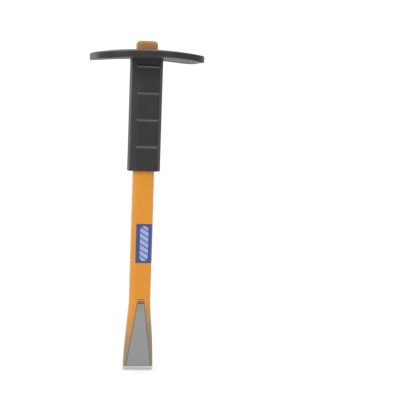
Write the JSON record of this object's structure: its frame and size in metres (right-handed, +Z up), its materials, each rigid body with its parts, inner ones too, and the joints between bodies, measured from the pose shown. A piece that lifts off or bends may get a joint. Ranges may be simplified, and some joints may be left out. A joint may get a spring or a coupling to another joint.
{
  "type": "cold chisel",
  "caption": "Flat cold chisel: octagonal lacquered steel bar with a flared ground blade, and a black rubber hand guard with a rounded oblong shield on a ribbed grip sleeve.",
  "frame": {"origin": "centre of the cutting edge, at the bottom of the tool standing upright", "axes": "+Z up the tool's axis towards the struck head, X along the cutting edge and the long way of the shield, -Y the front face with the label"},
  "size_m": [0.1006, 0.07, 0.3],
  "materials": {
    "lacquered_steel": "orange gloss lacquer on forged steel, bare ground steel on the blade faces",
    "guard_rubber": "matt moulded black rubber",
    "label_film": "blue printed sticker film with a plain white pattern"
  },
  "bodies": {
    "bar": {"chisel_bar": "lacquered_steel", "label": "label_film"},
    "guard": {"hand_guard": "guard_rubber"}
  },
  "joints": [
    {"name": "guard_slide", "type": "slide", "parent": "bar", "child": "guard", "axis": [0, 0, 1], "range_m": [-0.118, 0.118]}
  ]
}
